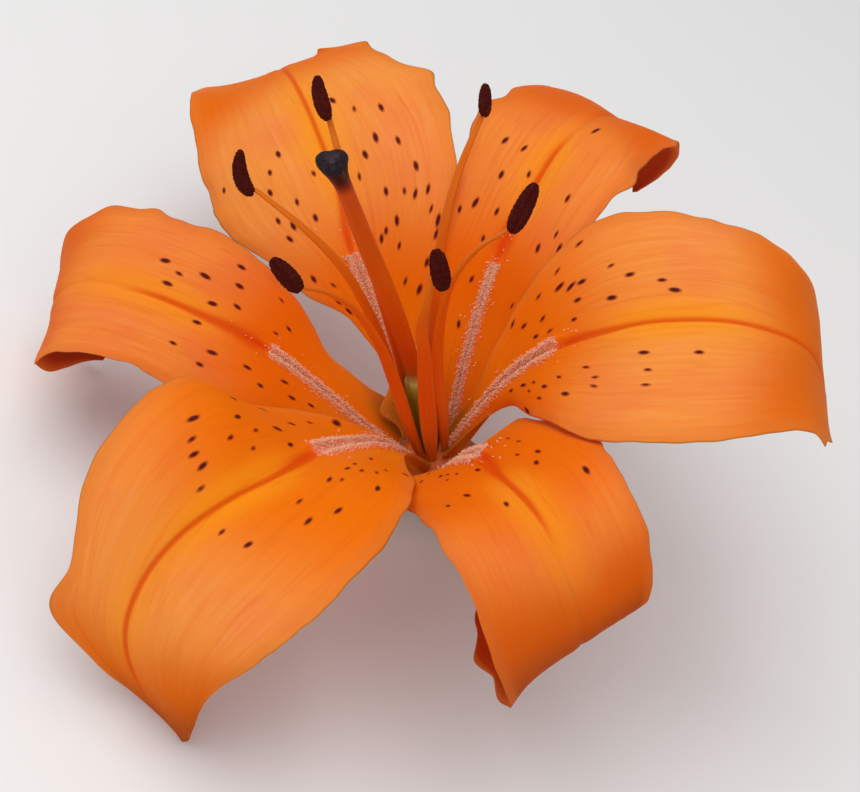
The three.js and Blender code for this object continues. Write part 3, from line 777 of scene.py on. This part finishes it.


# Colours of the blades. The salmon of outer and patch is partly a painted sheen; the throat is painted
# light; claw, rim, tip and end are painted shade.
petal_tissue = tepal_tissue(
    "petal_tissue",
    {
        "throat": "#FA9014", "inner": "#F0740A", "outer": "#F29240", "patch": "#F08248",
        "tip": "#E66A10", "end": "#AA4404",
        "band": "#F8981A", "pale": "#F6AC66", "vein": "#DE5E0E", "midrib": "#E0500C",
        "claw": "#966A22", "furrow": "#E6460E", "lips": "#F89C74", "rim": "#E27C30",
        "back": "#D2480C", "back_vein": "#BA3808", "back_claw": "#D4660E",
    },
)
sepal_tissue = tepal_tissue(
    "sepal_tissue",
    {
        "throat": "#F88A14", "inner": "#EE6C08", "outer": "#F08838", "patch": "#EE7640",
        "tip": "#E2600E", "end": "#A43A04",
        "band": "#F69220", "pale": "#F2A05C", "vein": "#DA560E", "midrib": "#E04C0C",
        "claw": "#90621E", "furrow": "#E6420C", "lips": "#F89C74", "rim": "#DE7030",
        "back": "#C83E0C", "back_vein": "#AE2E06", "back_claw": "#CC5C0C",
    },
)
# Papillae: soft fingers of clear tissue that stand thickly along both lips of the nectary, salmon
# at the foot and creamy at the tip. Each tepal has this many.
PAPILLA_COUNT = 2400
papilla_tissue, shader = finger_tissue("nectary_papillae", "#FF9060", "#FFD0AE")
shader.inputs["Roughness"].default_value = 0.5
shader.inputs["Specular IOR Level"].default_value = 0.15
shader.inputs["Subsurface Weight"].default_value = 0.2
shader.inputs["Subsurface Radius"].default_value = (1.0, 0.6, 0.4)
shader.inputs["Subsurface Scale"].default_value = 0.0002

for name, tepal in TEPALS.items():
    midrib = midrib_of(tepal)
    whorl = tepal["whorl"]
    under_v = np.linspace(-1, 1, LOWER_COLUMNS + 1)
    over_v = np.linspace(1, -1, UPPER_COLUMNS + 1)[1:-1]
    ring_v = np.concatenate([under_v, over_v])
    over = np.concatenate([np.zeros(len(under_v), bool), np.ones(len(over_v), bool)])
    u, v = np.meshgrid(np.linspace(0, 1, ROWS + 1), ring_v, indexing="ij")
    width = half_width(tepal, u, v > 0)
    mm, out, away = u * tepal["length"], v * width, np.abs(v)
    # The lower face lies a thickness below: thickest along the claw's midrib, thin at the margin,
    # with a raised rib down the middle, fine ridges beside it and a rounded rim.
    thickness = BLADE_THICKNESS + (CLAW_THICKNESS - BLADE_THICKNESS) * (1 - u) ** 2 * (1 - away)
    thickness -= (BLADE_THICKNESS - EDGE_THICKNESS) * away**4
    rounded = np.sqrt(np.maximum(1 - away**24, 0))
    relief = upper_relief(name, tepal, u, v, width)
    rib = RIB_RISE * bell(out, 0.9) * (1 - eased(0.7, 1, u))
    rib = rib + 0.05 * np.sin(50 * away) * (1 - away**8)
    above = relief - thickness / 2 * (1 - rounded)
    below = -thickness / 2 * (1 + rounded) - rib * rounded + 0.6 * np.minimum(relief, 0)
    lift = np.where(over, above, below)
    normal = upper_normal(tepal, midrib, u, v)
    rings = upper_face(tepal, midrib, u, v) + normal * lift[..., None]
    reach = tepal["nectary"][0]
    left, right = nectary_lips(tepal, mm)
    from_furrow = out - (left + right) / 2
    line = from_furrow - line_drift(tepal, u)
    line_wide, flame, line_end = whorl["line"]
    tip_from, end_from = tepal["tip"]
    blade = grown(
        f"{name}_blade",
        rings,
        {
            # Painted light: brighter near the throat, for light shining through the petals.
            "throat": 1 - eased(0.1, 0.34, u),
            "inner": 1 - eased(tepal["deep"] - 0.16, tepal["deep"] + 0.12, u + 0.06 * away),
            "band": bell(line, 4.4)
            * eased(0.34, 0.5, u)
            * (1 - 0.4 * eased(0.5, 0.72, u))
            * (1 - eased(tip_from - 0.1, tip_from + 0.12, u)),
            # Painted shade: tipward and end darken the tip where it turns away from the light.
            "tipward": eased(tip_from - 0.1, tip_from + 0.1, u + 0.04 * away),
            "end": eased(end_from - 0.08, end_from + 0.08, u + 0.02 * away),
            "midrib": bell(line, line_wide + flame * (1 - eased(reach + 2, reach + 18, mm)))
            * eased(reach - 2, reach + 4, mm)
            * (1 - eased(line_end - 0.12, line_end, u)),
            "furrow": bell(from_furrow, 0.6)
            * (1 - eased(reach + 2, reach + 7, mm))
            * eased(0.45, 0.95, mm / reach),
            "lips": bell(np.maximum(np.abs(from_furrow) - (left - right) / 2, 0), 0.55)
            * (1 - eased(reach - 1.5, reach + 1, mm)),
            # Painted shade: the olive-brown of the claw's margins.
            "claw": (1 - eased(0.03, 0.14, u)) * eased(0.25, 0.85, away),
            # Painted shade: darker towards the margins.
            "rim": eased(0.78, 1, away),
            "spot": np.where(over, spot_depth(name, mm, v, width), -3.0),
            "under": np.where(over, 0.0, eased(0.02, 0.2, 1 - away)),
            "grain": np.stack([v * whorl["grain"] + tepal["azimuth"], mm, 7.0 * over + 0 * v], -1),
        },
        petal_tissue if whorl is PETAL else sepal_tissue,
    )
    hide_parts(name)

    rng = np.random.default_rng(int(tepal["azimuth"] + 200))
    count = PAPILLA_COUNT
    fluff = tepal.get("fluff", 1.0)
    mm = reach * rng.uniform(0, 1, count) ** 0.9
    left, right = nectary_lips(tepal, mm)
    on_lip = rng.random(count) < 0.25 + 0.5 * (mm / reach) ** 2
    side = np.where(on_lip, rng.integers(0, 2, count), rng.random(count))
    out = left + (right - left) * side + rng.normal(0, 0.36 * fluff, count)
    # A few stray papillae grow beyond the end of the strips.
    stray = rng.random(count) < 0.02
    mm = mm + stray * rng.uniform(0, 9, count)
    out = out + stray * rng.normal(0, 1.6, count)
    u = mm / tepal["length"]
    width = half_width(tepal, u, out > 0)
    v = np.clip(out / width, -0.95, 0.95)
    normal = upper_normal(tepal, midrib, u, v)
    feet = upper_face(tepal, midrib, u, v)
    feet = feet + normal * (upper_relief(name, tepal, u, v, width) - 0.12)[:, None]
    papillae = sown(
        f"{name}_papillae",
        FINGER,
        FINGER_FACES,
        feet,
        normal + rng.normal(0, 0.45, (count, 3)),
        rng.uniform(0.08, 0.14, count),
        fluff * rng.uniform(0.35, 0.7, count),
        papilla_tissue,
    )


# ---- stamens: filaments ----
# Smooth tapering stalks of living tissue, flattened towards the axis and drawn out to a fine
# point that runs into the back of the anther. One grows in front of each tepal.
# Distance from the axis and height in mm, then half widths, at equal stations.
FILAMENT_COURSE = [(2.6, 0), (3.8, 10), (4.7, 22), (6.4, 34), (9.6, 45), (14.4, 53), (20.2, 59.3)]
FILAMENT_HALF_WIDTHS = [0.85, 1.4, 1.4, 1.2, 0.95, 0.7, 0.45]
# Thickness over width, steps along each filament and points round it.
FILAMENT_FLATNESS, FILAMENT_STEPS, FILAMENT_POINTS = 0.6, 120, 28
# Azimuths at equal stations, the spread of the middle, how far the tip goes out and up from the
# common course, then the anther's length, half width, heading, pitch and bend, and the grip:
# where along it the filament holds it.
STAMENS = {
    "back": ([109, 116, 122, 116, 109], 0.98, (0.7, 0.7), (8.8, 1.2, 95, 13, 0.4, -0.6)),
    "back_right": ([51, 45, 35, 39, 40], 1, (1, 0.7), (7.4, 1, 80, 0, 0, -0.75)),
    "right": ([-12, -45, -40, -32, -33], 0.98, (-0.4, 0.2), (8.4, 1.4, 50, 23, 0, -0.85)),
    "front": ([-89, -84, -81, -82, -73], 1.61, (-1.7, 1.7), (6.4, 1.35, 94, 63, 0, -0.1)),
    "front_left": ([-132, -136, -136, -137, -133], 1.12, (0.2, -0.2), (6.4, 1.4, 129, 29, 0, -0.85)),
    "left": ([163, 164, 165, 165, 161], 0.95, (0, 0), (7.2, 1.3, 97, 29, 1.8, -0.8)),
}


def smooth_course(knots, steps):
    """Centripetal Catmull-Rom curve through the knots, read at equal lengths."""
    padded = np.concatenate([[2 * knots[0] - knots[1]], knots, [2 * knots[-1] - knots[-2]]])
    gaps = np.linalg.norm(np.diff(padded, axis=0), axis=1) ** 0.5
    t = np.linspace(0, 1, 60)[:-1, None]
    spans = []
    for k in range(len(knots) - 1):
        a, b, c, d = padded[k : k + 4]
        before, here, after = gaps[k : k + 3]
        start = (b - a) / before - (c - a) / (before + here) + (c - b) / here
        finish = (c - b) / here - (d - b) / (here + after) + (d - c) / after
        start, finish = start * here, finish * here
        cube = (2 * b - 2 * c + start + finish) * t**3
        spans.append(cube + (3 * c - 3 * b - 2 * start - finish) * t**2 + start * t + b)
    dense = np.concatenate(spans + [knots[-1:]])
    length = np.concatenate([[0], np.cumsum(np.linalg.norm(np.diff(dense, axis=0), axis=1))])
    wanted = np.linspace(0, length[-1], steps + 1)
    return np.stack([np.interp(wanted, length, dense[:, k]) for k in range(3)], -1)


# Living tissue with a waxy skin: an even sheen, with faint fibres 0.6 mm apart lengthwise. It is
# painted paler at the foot: painted light against the shade deep in the throat.
filament_tissue, shader, _ = fibred_tissue(
    "filament_tissue",
    [(0, "#F48C1E"), (0.45, "#EA760E"), (1, "#E27A16")],
    shade="#F2CEA4",
    per_mm=1.6,
    detail=4,
    strength=0.3,
    depth=0.0001,
)
shader.inputs["Roughness"].default_value = 0.45
shader.inputs["Specular IOR Level"].default_value = 0.12
shader.inputs["Subsurface Weight"].default_value = 0.15
shader.inputs["Subsurface Radius"].default_value = (1.0, 0.3, 0.1)
shader.inputs["Subsurface Scale"].default_value = 0.001

filament_tips = {}
angle = np.linspace(0, 2 * np.pi, FILAMENT_POINTS, endpoint=False)[None]
for name, (azimuths, spread, (tip_out, tip_up), _) in STAMENS.items():
    u = np.linspace(0, 1, len(FILAMENT_COURSE))
    azimuth = np.radians(station(azimuths, u))
    radius, height = np.array(FILAMENT_COURSE, float).T
    radius = radius * (1 + (spread - 1) * np.sin(np.pi * u)) + tip_out * u**3
    height = height + tip_up * u**3
    knots = np.stack([radius * np.cos(azimuth), radius * np.sin(azimuth), height], -1)
    course = smooth_course(knots, FILAMENT_STEPS)
    filament_tips[name] = course[-1]
    # The fine point goes on 0.5 mm, into the seat that the anther rocks on.
    point = course[-1] + (course[-1] - course[-2]) / np.linalg.norm(course[-1] - course[-2]) * 0.5
    course = np.concatenate([course, [(course[-1] + point) / 2, point]])
    u = np.linspace(0, 1, len(course))[:, None]
    half_wide = station(FILAMENT_HALF_WIDTHS, u)
    half_wide[-2:] *= [[0.8], [0.5]]
    # A shallow groove runs up the face that looks to the axis.
    groove = 1 - 0.14 * bell(np.angle(np.exp(1j * (angle + np.pi / 2))), 0.5) * (1 - u)
    facing = math.radians(azimuths[2])
    rings = swept(
        course,
        np.array([-math.sin(facing), math.cos(facing), 0]),
        half_wide * np.cos(angle),
        FILAMENT_FLATNESS * half_wide * np.sin(angle) * groove,
    )
    filament = grown(
        f"filament_{name}_stalk",
        rings,
        {
            "upward": u,
            "grain": np.stack(np.broadcast_arrays(2 * np.cos(angle), 60 * u, 2 * np.sin(angle)), -1),
        },
        filament_tissue,
    )
    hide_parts(f"filament_{name}")


# ---- stamens: anthers ----
# Plump two-lobed pods that have split open and turned inside out, so that dark sticky pollen
# covers them in clumps. Each rocks on the point of its filament, most of them near one end.
# Thickness over width, and how far the filament's end is from the pod, mm. Then rings along each
# pod, points round each ring, and clumps on each pod.
ANTHER_FLATNESS, ANTHER_SEAT = 0.8, 0.5
ANTHER_RINGS, ANTHER_POINTS, CLUMP_COUNT = 71, 48, 1000
# A clump of grains: a twelve-cornered ball of 20 faces, radius 1.
GOLDEN = (1 + 5**0.5) / 2
CLUMP = [(-1, GOLDEN, 0), (1, GOLDEN, 0), (-1, -GOLDEN, 0), (1, -GOLDEN, 0)]
CLUMP += [(0, -1, GOLDEN), (0, 1, GOLDEN), (0, -1, -GOLDEN), (0, 1, -GOLDEN)]
CLUMP += [(GOLDEN, 0, -1), (GOLDEN, 0, 1), (-GOLDEN, 0, -1), (-GOLDEN, 0, 1)]
CLUMP = np.array(CLUMP) / math.hypot(1, GOLDEN)
CLUMP_FACES = [(0, 11, 5), (0, 5, 1), (0, 1, 7), (0, 7, 10), (0, 10, 11), (1, 5, 9), (5, 11, 4)]
CLUMP_FACES += [(11, 10, 2), (10, 7, 6), (7, 1, 8), (3, 9, 4), (3, 4, 2), (3, 2, 6), (3, 6, 8)]
CLUMP_FACES += [(3, 8, 9), (4, 9, 5), (2, 4, 11), (6, 2, 10), (8, 6, 7), (9, 8, 1)]

# Pollen: dull maroon-brown grains of 0.1 mm that stick in clumps of about 0.2 mm.
pollen, tree, shader = begun("dark_pollen")
where = add(tree, "ShaderNodeTexCoord").outputs["Object"]
clumps = add(
    tree, "ShaderNodeTexNoise", {"Scale": 4500, "Detail": 4, "Roughness": 0.7}, {"Vector": where}
).outputs["Fac"]
tint = add(tree, "ShaderNodeValToRGB", links={"Fac": clumps})
tint.color_ramp.elements[0].position = 0.35
tint.color_ramp.elements[0].color = linear("#2A0504")
tint.color_ramp.elements[1].position = 0.7
tint.color_ramp.elements[1].color = linear("#661A0E")
tree.links.new(tint.outputs["Color"], shader.inputs["Base Color"])
bump = add(tree, "ShaderNodeBump", {"Strength": 0.8, "Distance": 0.0002}, {"Height": clumps})
tree.links.new(bump.outputs["Normal"], shader.inputs["Normal"])
shader.inputs["Roughness"].default_value = 0.9
shader.inputs["Specular IOR Level"].default_value = 0.1

angle = np.linspace(0, 2 * np.pi, ANTHER_POINTS, endpoint=False)[None]
for name, (azimuths, *_, (length, half_wide, heading, pitch, bend, grip)) in STAMENS.items():
    heading, pitch, azimuth = (math.radians(x) for x in (heading, pitch, azimuths[-1]))
    along = np.array(
        [math.cos(pitch) * math.cos(heading), math.cos(pitch) * math.sin(heading), math.sin(pitch)]
    )
    side = np.cross(np.array([math.cos(azimuth), math.sin(azimuth), 1]), along)
    side /= np.linalg.norm(side)
    up = np.cross(along, side)
    held = ANTHER_FLATNESS * half_wide * math.sqrt(1 - grip**4) + ANTHER_SEAT
    s = np.linspace(-1, 1, ANTHER_RINGS)[:, None]
    course = filament_tips[name] + up * held + along * (s - grip) * length / 2
    course = course + side * bend * (grip**2 - s**2)
    plump = half_wide * np.maximum(1 - np.abs(s) ** 2.6, 4e-4) ** 0.5 * (1 - 0.1 * s)
    # Two lobes: the pod is pinched along its front and back.
    lobed = 1 - 0.3 * bell(np.abs(np.abs(np.angle(np.exp(1j * angle))) - np.pi / 2), 0.35)
    rng = np.random.default_rng(int(length * 10 + azimuths[0] + 200))
    lumps = sum(
        np.sin(f * 3 * s + rng.uniform(0, 6)) * np.sin(k * angle + rng.uniform(0, 6))
        for f, k in ((5, 4), (9, 7), (14, 11), (19, 5))
    )
    reach = plump * (1 + 0.02 * lumps)
    rings = swept(course, side, reach * np.cos(angle), ANTHER_FLATNESS * reach * lobed * np.sin(angle))
    pod = grown(f"anther_{name}_pod", rings, {}, pollen)
    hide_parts(f"anther_{name}")
    row = rng.integers(2, ANTHER_RINGS - 2, CLUMP_COUNT)
    column = rng.integers(0, ANTHER_POINTS, CLUMP_COUNT)
    feet = rings[row, column]
    size = rng.uniform(0.06, 0.13, CLUMP_COUNT)
    grains = sown(
        f"anther_{name}_pollen",
        CLUMP,
        CLUMP_FACES,
        feet,
        feet - course[row] + rng.normal(0, 0.3, (CLUMP_COUNT, 3)),
        size,
        size * rng.uniform(0.7, 1.1, CLUMP_COUNT),
        pollen,
    )


# ---- table top, lamps and camera ----
# A matt white laminate table under a wide diffuser, with a paler sky all round. The camera looks
# down on the open flower from its front, 41 degrees above the table, and is held askew.
# Half the side of the table, metres.
TABLE_HALF = 1.5
table_mesh = bpy.data.meshes.new("table_top")
corners = [(x * TABLE_HALF, y * TABLE_HALF, 0) for x, y in ((-1, -1), (1, -1), (1, 1), (-1, 1))]
table_mesh.from_pydata(corners, [], [(0, 1, 2, 3)])
table_top = bpy.data.objects.new("table_top", table_mesh)
bpy.context.scene.collection.objects.link(table_top)
laminate, _, shader = begun("matt_white_laminate")
shader.inputs["Base Color"].default_value = linear("#F3F2F0")
shader.inputs["Roughness"].default_value = 0.9
table_mesh.materials.append(laminate)

sky = bpy.data.worlds.new("overcast_sky")
bpy.context.scene.world = sky
sky.use_nodes = True
sky.node_tree.nodes["Background"].inputs["Color"].default_value = linear("#F6F7FA")
sky.node_tree.nodes["Background"].inputs["Strength"].default_value = 0.48
# Both lamps point here, in metres. Each lamp: place in metres, side of its square, power in watts.
LAMP_AIM = Vector((0, 0, 0.03))
for name, place, side, power in (
    ("wide_diffuser", (-0.2, -0.06, 0.64), 0.7, 2.75),
    ("front_fill", (0.1, -0.45, 0.42), 0.5, 0.5),
):
    lamp = bpy.data.lights.new(name, "AREA")
    lamp.size = side
    lamp.energy = power
    holder = bpy.data.objects.new(name, lamp)
    holder.location = place
    holder.rotation_euler = (LAMP_AIM - Vector(place)).to_track_quat("-Z", "Y").to_euler()
    bpy.context.scene.collection.objects.link(holder)

# The camera's place in metres, and the directions of its right, its top and its back.
CAMERA_PLACE = (0.00286, -0.23172, 0.22933)
CAMERA_RIGHT = (0.9242, 0.2502, 0.2885)
CAMERA_UP = (-0.3818, 0.6064, 0.6975)
CAMERA_BACK = (-0.0004, -0.7548, 0.6559)
lens = bpy.data.cameras.new("camera")
lens.lens, lens.sensor_width, lens.clip_start = 77.69, 36, 0.01
camera = bpy.data.objects.new("camera", lens)
bpy.context.scene.collection.objects.link(camera)
stand = Matrix((CAMERA_RIGHT, CAMERA_UP, CAMERA_BACK)).transposed().to_4x4()
camera.matrix_world = Matrix.Translation(CAMERA_PLACE) @ stand
bpy.context.scene.camera = camera
bpy.context.scene.view_settings.view_transform = "Standard"
